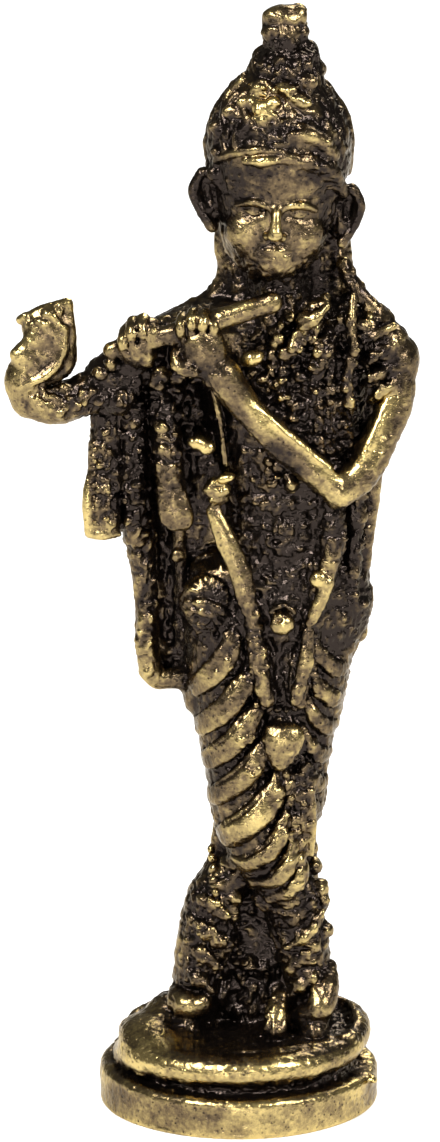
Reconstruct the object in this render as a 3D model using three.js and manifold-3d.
// A small solid-cast brass figure of a flute player in a tall crown, standing cross-legged
// on a round two-tier plinth. The figure and its plinth are one casting, so they are one mesh.
// Millimetres, +Z up, the figure faces -Y, the origin is the centre of the plinth's underside.
import * as THREE from "three";
import { SimplifyModifier } from "three/addons/modifiers/SimplifyModifier.js";
import { mergeVertices } from "three/addons/utils/BufferGeometryUtils.js";
import Module from "manifold-3d";

// Driving sizes, in millimetres.
const FIGURE_HEIGHT = 42; // from the plinth's top to the tip of the crown
const PLINTH_RADIUS = 5.45; // the lower tier's widest radius
const LOWER_TIER_HEIGHT = 1.65;
const LOWER_TIER_CHAMFER = 0.28; // how far the lower tier draws in at its two edges
const GROOVE_HEIGHT = 0.42;
const GROOVE_DEPTH = 0.65; // from the lower tier's widest radius
const UPPER_TIER_SETBACK = 0.33; // of the upper tier's radius from the lower tier's
const UPPER_TIER_HEIGHT = 1.03; // from the groove to the top of its rolled rim
const RIM_ROLL = 0.62; // radius of the rolled rim
const DISH_DEPTH = 0.1; // the plinth's top inside the rim, below the rim

// The figure is laid out in its own unit, one 108th of its height, as such figures are:
// x to the viewer's right, y away from the viewer, z up from the plinth's top.
const UNITS_IN_FIGURE = 108;
const UNIT = FIGURE_HEIGHT / UNITS_IN_FIGURE;
const PLINTH_TOP = LOWER_TIER_HEIGHT + GROOVE_HEIGHT + UPPER_TIER_HEIGHT - DISH_DEPTH;

const HEAD = { x: 3.7, chin: 80.6, hairline: 92.6, tall: 14.2, faceWidth: 11.4 };
const CROWN = { x: 4.1, y: 0.6, depthOverWidth: 0.94 };

// The finished solid's corners, which come to just under 10,000 facets.
const MOST_CORNERS = 4900;

const DEPTH_AXIS = new THREE.Vector3(0, 1, 0);
const UP_AXIS = new THREE.Vector3(0, 0, 1);

const wasm = await Module();
wasm.setup();

const at = ([x, y, z]) => new THREE.Vector3(x * UNIT, y * UNIT, z * UNIT + PLINTH_TOP);
const count = (n, make) => Array.from({ length: n }, (_, i) => make(i));

// A smooth value through evenly spaced stations, for t from 0 to 1.
function along(values, t) {
  return new THREE.SplineCurve(values.map((v, i) => new THREE.Vector2(i, v))).getPoint(t).y;
}

// A rounded form through stations of [x, y, z, half width, half depth]. Its ends are square
// where blunt is near 0 and egg-shaped where it is near 1. Its sections turn with the path,
// unless it is level, which wide upright forms are.
function swept(stations, options = {}) {
  const { sides = 8, steps = 2 * stations.length + 1, blunt = 0.4 } = options;
  const { facing = DEPTH_AXIS, level = false } = options;
  const path = new THREE.CatmullRomCurve3(stations.map(at), false, "centripetal");
  const widths = stations.map((s) => s[3] * UNIT);
  const depths = stations.map((s) => (s[4] ?? s[3]) * UNIT);
  const form = new THREE.SphereGeometry(1, sides, steps);
  const place = form.getAttribute("position");
  for (let i = 0; i < place.count; i++) {
    const t = Math.acos(THREE.MathUtils.clamp(place.getY(i), -1, 1)) / Math.PI;
    const turn = Math.atan2(place.getZ(i), place.getX(i));
    const swell = t > 0.001 && t < 0.999 ? Math.pow(Math.sin(Math.PI * t), blunt) : 0;
    const run = path.getTangent(t);
    if (level) run.set(0, 0, run.z).normalize();
    const deep = facing.clone().addScaledVector(run, -facing.dot(run)).normalize();
    const side = new THREE.Vector3().crossVectors(deep, run);
    const p = path.getPoint(t);
    p.addScaledVector(side, along(widths, t) * swell * Math.cos(turn));
    p.addScaledVector(deep, along(depths, t) * swell * Math.sin(turn));
    place.setXYZ(i, p.x, p.y, p.z);
  }
  return form;
}

// A roll of one thickness through points.
const roll = (points, thick, options) =>
  swept(points.map((p) => [...p, thick]), { sides: 6, steps: points.length + 3, blunt: 0.28, ...options });

// An egg-shaped lump of the given half sizes, leaning to the viewer's left or right.
function lump(centre, [width, depth, height], { sides = 6, rows = 4, lean = 0 } = {}) {
  const form = new THREE.SphereGeometry(UNIT, sides, rows).rotateX(Math.PI / 2);
  form.scale(width, depth, height).rotateY(THREE.MathUtils.degToRad(lean));
  return form.translate(...at(centre));
}

const bead = (centre, radius) => new THREE.IcosahedronGeometry(radius * UNIT).translate(...at(centre));
const onBothSides = (make) => [make(-1), make(1)];

function plinth() {
  const upper = PLINTH_RADIUS - UPPER_TIER_SETBACK;
  const groove = PLINTH_RADIUS - GROOVE_DEPTH;
  const grooveTop = LOWER_TIER_HEIGHT + GROOVE_HEIGHT;
  const rimTop = grooveTop + UPPER_TIER_HEIGHT;
  const rimRing = upper - RIM_ROLL;
  const rimPoint = (turn) => [rimRing + RIM_ROLL * Math.cos(turn), rimTop - RIM_ROLL * (1 - Math.sin(turn))];
  const profile = [
    [0, 0],
    [PLINTH_RADIUS - LOWER_TIER_CHAMFER, 0],
    [PLINTH_RADIUS - LOWER_TIER_CHAMFER * 0.15, LOWER_TIER_HEIGHT * 0.2],
    [PLINTH_RADIUS, LOWER_TIER_HEIGHT * 0.45],
    [PLINTH_RADIUS - LOWER_TIER_CHAMFER * 0.25, LOWER_TIER_HEIGHT * 0.8],
    [PLINTH_RADIUS - LOWER_TIER_CHAMFER, LOWER_TIER_HEIGHT],
    [groove, LOWER_TIER_HEIGHT + GROOVE_HEIGHT * 0.15],
    [groove, grooveTop - GROOVE_HEIGHT * 0.15],
    [upper - LOWER_TIER_CHAMFER * 0.5, grooveTop],
    [upper, rimTop - RIM_ROLL],
    ...[1, 2, 3].map((i) => rimPoint((i / 3) * (Math.PI / 2))),
    [rimRing - 2 * RIM_ROLL, PLINTH_TOP],
    [0, PLINTH_TOP],
  ];
  const turned = new THREE.LatheGeometry(profile.map(([r, z]) => new THREE.Vector2(r, z)), 32);
  return [turned.rotateX(Math.PI / 2), lump([-8.4, -2.6, 0], [2.8, 3.2, 0.8], { lean: 8 })];
}

// The thigh that crosses in front, from the hip down to its knee, and its shin beyond.
const CROSSING_LEG = [
  [-0.4, 1.0, 50, 4.8, 4.4],
  [-0.9, 0.6, 38, 4.4, 4.6],
  [0.3, -0.2, 29, 4.0, 4.4],
  [1.8, -0.9, 21, 3.9, 4.1],
  [4.6, -0.6, 15, 3.4, 3.3],
  [6.6, -0.4, 9, 2.7, 2.8],
  [7.8, -0.4, -1.5, 2.1, 2.3],
];

// The leg that passes behind it.
const STANDING_LEG = [
  [7.8, 1.0, 50, 4.2, 4.0],
  [7.4, 1.0, 38, 4.0, 4.1],
  [6.2, 1.4, 29, 3.2, 3.9],
  [4.4, 2.0, 21, 3.4, 3.6],
  [-1.7, 1.4, 15, 3.1, 3.4],
  [-3.6, 0.9, 9, 2.8, 3.2],
  [-4.7, 0.6, -1.5, 2.1, 2.6],
];

function legs() {
  return [
    swept(CROSSING_LEG, { steps: 12, blunt: 0.3 }),
    swept(STANDING_LEG, { steps: 12, blunt: 0.3 }),
    swept(
      [
        [3.6, 2.4, 46, 4.6, 2.8],
        [3.2, 2.6, 28, 4.6, 2.6],
        [2.2, 2.8, 12, 6.4, 1.9],
        [2.0, 2.6, -4.5, 6.6, 2.4],
      ],
      { blunt: 0.15, level: true },
    ),
    swept([[4.3, -1.0, 45, 3.0, 2.4], [4.2, -1.6, 34, 2.4, 2.2], [4.4, -1.4, 24, 1.8, 1.8]], {
      sides: 6,
      level: true,
    }),
    lump([4.2, 1.0, 45.5], [9.4, 4.6, 7.6], { sides: 12, rows: 7 }),
  ];
}

// Wound cloth lies on the legs in thick rolls that fall from the middle to each side.
function clothRolls() {
  const onThigh = [
    [-5.2, 35.8, -0.4, 40.4],
    [-4.5, 31.8, 0.2, 36.6],
    [-3.8, 28.1, 1.2, 33.0],
    [-3.2, 24.5, 2.2, 29.2],
    [-2.6, 20.6, 3.8, 25.0],
    [-0.8, 17.2, 5.0, 21.6],
  ];
  const onOther = [
    [10.6, 39.6, 6.4, 43.2],
    [10.2, 36.0, 6.8, 39.4],
    [9.1, 32.8, 6.6, 35.8],
    [8.6, 29.6, 6.2, 32.4],
    [8.2, 26.4, 6.0, 29.2],
    [7.6, 23.2, 5.6, 26.0],
  ];
  const thighRoll = ([x0, z0, x1, z1]) => {
    const middle = [(x0 + x1) / 2 + 1, -4.2, (z0 + z1) / 2];
    return roll([[x0, -0.9, z0], [x0 + 1.4, -3.4, z0 + 0.5], middle, [x1, -3.9, z1]], 1.55);
  };
  const otherRoll = ([x0, z0, x1, z1]) =>
    roll([[x0, -0.2, z0], [x0 - 0.6, -2.4, z0 + 0.7], [x1, -3.4, z1]], 1.4);
  const leftShinRoll = (z, i) =>
    roll([[-4.9 - 0.45 * i, -0.8, z], [-3.6 - 0.3 * i, -2.2, z], [-0.8, -1.8, z - 1.8]], 1.25);
  const rightShinRoll = (z) => roll([[4.4, -2.8, z - 1.6], [6.8, -2.8, z], [8.5, -1.0, z + 1.6]], 1.0);
  const backRoll = (z, i) =>
    roll([[-4.2 + i * 0.5, 3.0, z - 2], [3.4, 4.5, z + 1.6], [10 - i * 0.5, 3.0, z - 2]], 1.3);
  const shinLevels = count(3, (i) => 12.9 - 3 * i);
  const backLevels = count(5, (i) => 40 - 6.2 * i);
  return [
    ...onThigh.map(thighRoll),
    ...onOther.map(otherRoll),
    roll([[2.0, -3.6, 16.0], [4.8, -4.2, 17.6], [5.9, -3.6, 22.6]], 1.15),
    roll([[4.4, -3.2, 14.4], [6.5, -3.2, 16.2], [7.1, -2.6, 21.4]], 1.0),
    ...shinLevels.map(leftShinRoll),
    ...shinLevels.map(rightShinRoll),
    ...backLevels.map(backRoll),
  ];
}

function feet() {
  const bumps = [[7.9, 18.6], [8.3, 16.4], [8.9, 14.2], [8.9, 9.8]];
  return [
    lump([-5.0, -0.6, 2.6], [2.1, 2.6, 1.3], { sides: 8 }),
    lump([8.3, -1.4, 3.3], [2.2, 2.1, 1.4], { sides: 8, lean: -32 }),
    swept([[-4.8, 1.6, 0.8, 1.8, 1.6], [-5.4, -2.2, 0.5, 1.8, 1.1]], { facing: UP_AXIS }),
    swept([[7.9, -0.2, 1.2, 1.8, 1.6], [8.0, -3.4, 0.6, 1.8, 1.0]], { facing: UP_AXIS }),
    swept([[5.0, -2.0, 6.0, 1.5, 1.4], [4.4, -3.2, 3.4, 1.4, 1.3], [3.5, -4.2, 0.4, 1.4, 1.1]], {
      sides: 6,
      steps: 5,
    }),
    ...count(3, (i) => bead([-2.2 - i * 0.2, -1.2, 18.6 - i * 2.2], 1.2)),
    ...bumps.map(([x, z]) => bead([x - 0.4, 0, z], 1.2)),
  ];
}

function torso() {
  return [
    swept(
      [
        [4.4, 0.8, 44, 7.6, 4.6],
        [4.9, 0.8, 51, 6.0, 4.2],
        [4.9, 0.6, 58, 6.4, 4.4],
        [4.6, 0.6, 66, 8.0, 4.6],
        [4.2, 0.8, 72.5, 9.4, 4.0],
        [4.2, 1.2, 77.5, 5.4, 3.4],
      ],
      { sides: 12, steps: 11, blunt: 0.3, level: true },
    ),
    swept([[4.2, 1.0, 73, 3.2, 3.8], [4.1, 0.8, 83, 2.9, 3.6]], { blunt: 0.2 }),
  ];
}

// The shawl that hangs behind from head and shoulders, with its rolled edges.
function shawl() {
  return [
    swept(
      [
        [4.0, 2.6, 91, 6.6, 2.4],
        [4.4, 2.8, 83, 6.9, 2.6],
        [4.6, 3.0, 77.6, 8.0, 2.8],
        [3.2, 3.0, 74.4, 13.0, 2.8],
        [2.4, 3.0, 68, 14.0, 3.0],
        [1.4, 3.2, 57, 13.0, 2.8],
        [1.5, 3.4, 47, 12.0, 2.6],
        [1.3, 3.4, 41, 11.6, 2.4],
        [0.8, 3.2, 35.6, 10.2, 2.2],
      ],
      { sides: 12, steps: 18, blunt: 0.15, level: true },
    ),
    swept(
      [
        [-10.6, 0.6, 68, 2.2, 2.2],
        [-10.4, 0.6, 60, 2.0, 2.1],
        [-10.3, 0.6, 53, 1.8, 2.1],
        [-9.5, 0.8, 46, 1.3, 2.1],
        [-9.4, 1.0, 40.5, 1.3, 2.1],
        [-8.2, 1.2, 37.5, 1.5, 2.0],
        [-3.8, 1.2, 37.6, 1.2, 2.0],
      ],
      { sides: 6, steps: 11, blunt: 0.2 },
    ),
    roll([[15.2, 1.0, 63], [13.6, 1.2, 55], [12.8, 1.4, 49], [12.4, 1.4, 41.6]], 1.3, { blunt: 0.2 }),
    ...[-8, -3.5, 1, 5.5, 10].map((x) => roll([[x * 0.8, 4.9, 73], [x, 5.2, 57], [x * 0.9, 4.9, 40]], 1.2)),
  ];
}

// What hangs from the far arm: a studded sash end and a smooth tongue beside it.
function hangings() {
  return [
    swept([[-13.2, -1.6, 68, 2.0, 2.0], [-13.6, -2.0, 60, 1.9, 1.8], [-14.0, -2.2, 53.0, 1.9, 1.6]], {
      blunt: 0.15,
    }),
    ...count(10, (i) => bead([-14.6 + (i % 2) * 1.6, -3.5, 64.5 - Math.floor(i / 2) * 2.3], 0.95)),
    ...count(4, (i) => bead([-10.7, -1.6, 64 - i * 3], 1.1)),
    swept([[-8.0, -2.6, 67, 1.6, 1.6], [-7.6, -3.6, 62, 1.4, 1.4], [-6.0, -4.2, 55.6, 1.6, 1.2]], {
      blunt: 0.3,
    }),
    swept([[-7.6, 0, 69, 1.8, 2.4], [-7.4, -1.0, 63, 1.5, 2.6], [-6.4, -0.6, 56, 1.4, 2.6]], {
      sides: 6,
      steps: 5,
    }),
  ];
}

// A hand closed on the flute: its palm, and fingers side by side over the top.
function fist([x, y, z], spread, thick) {
  const finger = (i) => {
    const left = x + (i - 1.5) * spread;
    const knuckle = z + 1.6 + i * 0.2;
    const back = [left, y - 1.3, z - 0.5];
    return roll([back, [left + 0.1, y - 1.3, knuckle], [left + 0.4, y, knuckle + 0.9]], thick);
  };
  return [lump([x, y, z], [2 * spread, 2.2, 2.6], { sides: 8 }), ...count(4, finger)];
}

// The far arm reaches out under the flute. Its hand is the second of the two on the flute,
// and its scarf's end curls back up beyond it.
function farArm() {
  const upperArm = [
    [-1.0, 0.6, 74.0, 3.2, 2.8],
    [-6.0, 0, 73.4, 3.1, 2.8],
    [-10.6, -1.4, 71.4, 3.2, 3.0],
    [-13.6, -2.0, 69.4, 2.6, 2.4],
  ];
  const scarf = [
    [-11.6, -1.6, 69.8, 2.6, 2.2],
    [-15.6, -2.4, 68.6, 2.8, 2.3],
    [-18.6, -3.0, 67.4, 2.4, 2.1],
    [-22.0, -3.0, 67.6, 1.9, 1.8],
  ];
  const curl = [
    [-21.8, -3.2, 67.6, 1.9, 1.6],
    [-21.8, -3.4, 70.2, 2.2, 1.9],
    [-19.6, -3.2, 73.2, 2.6, 1.9],
    [-19.3, -3.0, 77.0, 2.9, 1.4],
  ];
  return [
    swept(upperArm, { steps: 7 }),
    swept(scarf, { steps: 7, blunt: 0.3 }),
    swept(curl, { blunt: 0.3 }),
    roll([[-22.0, -3.2, 75.8], [-19.6, -3.4, 76.8], [-17.2, -3.2, 77.4]], 0.7),
    ...fist([-10.4, -5.0, 73.3], 1.2, 0.7),
    lump([-13.9, -3.2, 70.8], [1.5, 1.6, 1.3]),
    lump([-12.2, -3.0, 67.4], [1.9, 2.4, 1.9], { sides: 8 }),
  ];
}

// The near arm bends sharply at the elbow, and its hand closes on the flute.
function nearArm() {
  const arm = [
    [15.8, -0.4, 72.2, 2.3, 2.4],
    [16.2, -1.2, 68.4, 2.0, 2.1],
    [14.8, -2.6, 63.6, 1.95, 1.9],
    [12.9, -4.0, 60.3, 1.95, 1.9],
    [10.4, -4.6, 59.5, 1.95, 1.9],
    [7.4, -5.0, 61.8, 1.95, 1.9],
    [3.8, -5.4, 65.6, 1.9, 1.8],
    [0.6, -5.8, 69.4, 1.7, 1.6],
    [-1.8, -6.0, 72.2, 1.7, 1.6],
  ];
  return [
    swept(arm, { steps: 17, blunt: 0.3 }),
    ...fist([-3.7, -5.9, 74.0], 1.3, 0.8),
    roll([[-5.7, -5.8, 72.0], [-6.4, -6.6, 73.6], [-6.2, -6.2, 75.2]], 0.8),
    ...count(3, (i) => bead([0.4 + i * 1.1, -6.6 + i * 0.1, 71.0 - i * 1.5], 0.9)),
  ];
}

// The pleated cloth over the near shoulder.
function sleeve() {
  const pleat = (i) => {
    const z = 73.6 - 1.6 * i;
    const inner = [12.2 + i * 0.4, -2.2, z - 0.6];
    return roll([inner, [14.5 + i * 0.3, -2.5, z + 0.2], [16.6 + i * 0.1, -1.4, z]], 0.75);
  };
  return [
    lump([13.4, 0, 73.8], [4.2, 2.8, 2.6], { sides: 8, lean: 26 }),
    lump([15.6, -0.4, 71.4], [2.6, 2.8, 2.4], { sides: 8 }),
    ...count(4, pleat),
  ];
}

// The flute slopes down from the lips through both hands.
function flute() {
  const tube = [[3.3, -5.6, 78.5, 1.15], [-5, -6.0, 75.9, 1.1], [-14.6, -4.4, 72.6, 1.0]];
  return [swept(tube, { sides: 6, blunt: 0.1 })];
}

// The eyes are half way up the head. The face's three equal parts run from the hairline to
// the brow, to the base of the nose and to the chin, and it is five eyes wide.
function head() {
  const { x, chin, hairline, tall, faceWidth } = HEAD;
  const eyeLine = chin + tall / 2;
  const third = (hairline - chin) / 3;
  const brow = chin + 2 * third;
  const noseBase = chin + third;
  const mouth = noseBase - third / 3;
  const half = faceWidth / 2;
  const eye = faceWidth / 5;
  const face = [
    [x, -0.8, hairline, half, 4.4],
    [x, -0.8, brow, half + 0.1, 4.6],
    [x, -0.9, noseBase, half - 0.3, 4.4],
    [x, -1.6, mouth, half - 1.2, 3.7],
    [x, -2.2, chin + 0.4, 2.6, 2.6],
  ];
  const eyebrow = (s) => {
    const outer = [x + s * 2 * eye, -3.6, brow - 0.3];
    return roll([[x + s * 0.6, -4.5, brow - 0.2], [x + s * eye, -4.7, brow + 0.4], outer], 0.6);
  };
  return [
    lump([CROWN.x - 0.1, 1.0, chin + 8], [6.9, 6.2, tall / 2], { sides: 10, rows: 7 }),
    swept(face, { sides: 12, steps: 10, blunt: 0.35, level: true }),
    roll([[x, -4.5, brow - 0.4], [x, -5.4, eyeLine - 1.2], [x, -5.6, noseBase + 0.8]], 0.85),
    lump([x, -5.2, noseBase + 0.6], [1.3, 1.2, 0.7]),
    lump([x, -4.8, mouth + 0.35], [1.8, 0.9, 0.5]),
    lump([x, -4.6, mouth - 0.5], [1.4, 0.9, 0.5]),
    lump([x, -3.6, chin + 0.9], [1.7, 1.3, 1.1]),
    ...onBothSides(eyebrow),
    ...onBothSides((s) => lump([x + s * eye, -4.4, eyeLine], [eye / 2, 0.9, 0.6])),
    ...onBothSides((s) => lump([x + s * 2.7, -3.2, noseBase + 0.6], [1.9, 1.4, 1.8])),
    ...onBothSides((s) => ear([CROWN.x + s * 7.0, 0, eyeLine - 0.5 - s * 0.6], s)),
  ];
}

function ear([x, y, z], side) {
  const upper = [x - side * 0.6, y, z + 2.6, 1.2, 1.1];
  const middle = [x + side * 0.4, y, z + 0.8, 1.5, 1.3];
  const lobe = [x - side * 0.8, y - 0.4, z - 2.6, 1.0, 1.1];
  return swept([upper, middle, lobe], { sides: 6 });
}

// The crown: a brow band, a domed cap with locks of hair beside it, a beaded tier and a knob.
function crown() {
  const outline = [
    [0, 89.6],
    [6.9, 89.6],
    [7.35, 92.5],
    [6.9, 96.6],
    [5.6, 99.0],
    [4.4, 100.6],
    [3.9, 102.4],
    [2.1, 103.8],
    [2.35, 105.4],
    [2.2, 107.0],
    [1.3, UNITS_IN_FIGURE - 0.1],
    [0, UNITS_IN_FIGURE],
  ];
  const { x, y, depthOverWidth } = CROWN;
  const profile = outline.map(([r, z]) => new THREE.Vector2(r * UNIT, z * UNIT + PLINTH_TOP));
  const turned = new THREE.LatheGeometry(profile, 14).rotateX(Math.PI / 2);
  turned.scale(1, depthOverWidth, 1).translate(x * UNIT, y * UNIT, 0);
  const onCrown = (turn, r, z) => [x + r * Math.sin(turn), y - depthOverWidth * r * Math.cos(turn), z];
  const band = count(7, (i) => {
    const turn = THREE.MathUtils.lerp(-1.8, 1.8, i / 6);
    return onCrown(turn, 6.9, 89.2 + 3.8 * Math.max(Math.cos(turn), 0));
  });
  const locks = [[4.3, 101], [6.2, 98.8], [7.0, 96.2], [7.4, 93.4]];
  return [
    turned,
    roll(band, 0.8, { facing: UP_AXIS, steps: 10 }),
    lump([x + 3.0, -4.6, 94.6], [2.6, 1.4, 1.0], { lean: 20 }),
    ...count(6, (i) => bead(onCrown(-0.95 + i * 0.34, 6.3, 97.2), 1.25)),
    ...count(4, (i) => bead(onCrown(-0.6 + i * 0.36, 5.1, 99.2), 1.15)),
    ...count(8, (i) => bead(onCrown(-1.5 + i * 0.43, 3.5, 102.1), 1.1)),
    ...locks.map(([r, z]) => roll([-1.0, -1.4, -1.8].map((turn, k) => onCrown(turn, r, z - k * 0.8)), 0.9)),
    lump([x + 1.0, y, 106.6], [1.6, 1.5, 1.1]),
  ];
}

// Garland, straps and belt on the front of the body.
function ornaments() {
  const leftStrand = [[-2.4, -3.0, 68], [-2.9, -3.2, 60], [-1.6, -3.6, 55], [0.6, -3.9, 47.6]];
  const rightStrand = [[10.4, -2.8, 77], [10.2, -3.6, 70], [9.9, -3.6, 56], [8.4, -3.8, 48.6]];
  const strand = (points, ends) => roll([...points, ...ends], 1.05, { steps: 9, blunt: 0.2 });
  const belt = (z) => roll([[-2.0, -2.4, z + 0.6], [4.6, -3.9, z - 0.7], [10.8, -2.0, z + 0.6]], 0.85);
  return [
    strand(leftStrand, [[1.2, -4.3, 42], [3.4, -4.6, 35.4]]),
    strand(rightStrand, [[7.0, -4.2, 41], [5.2, -4.6, 35.4]]),
    roll([[1.4, -2.4, 74.8], [5.4, -2.8, 74.6], [9.0, -2.2, 77.0]], 0.9),
    ...count(5, (i) => bead([2.4 + i * 1.4, -3.8, 70.8 - 1.6 * Math.sin((i / 4) * Math.PI)], 1.0)),
    ...[51.0, 48.6, 46.2].map(belt),
    ...count(3, (i) => bead([-3.6 + i * 1.4, -2.9, 48.4 - (i % 2)], 1.1)),
    roll([[-0.6, -3.0, 45.4], [-1.4, -3.6, 42.6], [-2.6, -3.6, 40.4]], 0.9),
    bead([4.5, -4.2, 44.7], 1.5),
    lump([4.3, -4.2, 32.3], [2.1, 1.6, 2.9], { sides: 8, rows: 5 }),
  ];
}

// The geometry as a solid, with the vertices that its faces share merged into one.
function solidOf(geometry) {
  const bare = geometry.clone();
  for (const name of ["normal", "uv"]) bare.deleteAttribute(name);
  const merged = mergeVertices(bare, 1e-4);
  return new wasm.Manifold(
    new wasm.Mesh({
      numProp: 3,
      vertProperties: new Float32Array(merged.getAttribute("position").array),
      triVerts: new Uint32Array(merged.index.array),
    }),
  );
}

// The mesh's separate shells, each with its corner indices and the volume it shuts in.
function shellsOf({ vertProperties, triVerts }) {
  const parent = Array.from({ length: vertProperties.length / 3 }, (_, i) => i);
  const rootOf = (i) => {
    while (parent[i] !== i) i = parent[i] = parent[parent[i]];
    return i;
  };
  const faces = count(triVerts.length / 3, (i) => [...triVerts.slice(3 * i, 3 * i + 3)]);
  for (const [a, b, c] of faces) {
    parent[rootOf(a)] = rootOf(b);
    parent[rootOf(b)] = rootOf(c);
  }
  const shells = new Map();
  const corner = (i) => new THREE.Vector3().fromArray(vertProperties, 3 * i);
  for (const face of faces) {
    const root = rootOf(face[0]);
    if (!shells.has(root)) shells.set(root, { faces: [], volume: 0 });
    const shell = shells.get(root);
    const [a, b, c] = face.map(corner);
    shell.faces.push(face);
    shell.volume += a.dot(b.cross(c)) / 6;
  }
  return [...shells.values()];
}

// The shells of a mesh that hold metal. Pockets shut in between its forms are left out,
// because the casting is solid.
function metalShells(mesh) {
  const holdingMetal = shellsOf(mesh).filter((shell) => shell.volume > 0);
  return holdingMetal.map((shell) =>
    new THREE.BufferGeometry()
      .setAttribute("position", new THREE.BufferAttribute(mesh.vertProperties, 3))
      .setIndex(shell.faces.flat()),
  );
}

// All the forms joined. Every one of them has to touch the rest.
function castInOne(forms) {
  const bodies = metalShells(forms.map(solidOf).reduce((whole, form) => whole.add(form)).getMesh());
  if (bodies.length !== 1) throw new Error(`${bodies.length - 1} forms stand loose from the casting`);
  return mergeVertices(bodies[0], 1e-5);
}

const joined = castInOne([
  ...plinth(),
  ...legs(),
  ...clothRolls(),
  ...feet(),
  ...torso(),
  ...shawl(),
  ...hangings(),
  ...farArm(),
  ...nearArm(),
  ...sleeve(),
  ...flute(),
  ...head(),
  ...crown(),
  ...ornaments(),
]);

// Fewer, larger facets. Forms that this parts at a thin neck are joined again.
const spareCorners = joined.getAttribute("position").count - MOST_CORNERS;
const coarse = await new SimplifyModifier().modify(joined, spareCorners);
const casting = castInOne(
  metalShells({ vertProperties: coarse.getAttribute("position").array, triVerts: coarse.index.array }),
);

const brass = new THREE.MeshStandardMaterial({ color: 0x6b5526, roughness: 0.42, metalness: 0.9 });
const figure = new THREE.Mesh(casting, brass);
figure.name = "flute_player_figure";
casting.computeVertexNormals();

const group = new THREE.Group();
group.add(figure);
export default group;
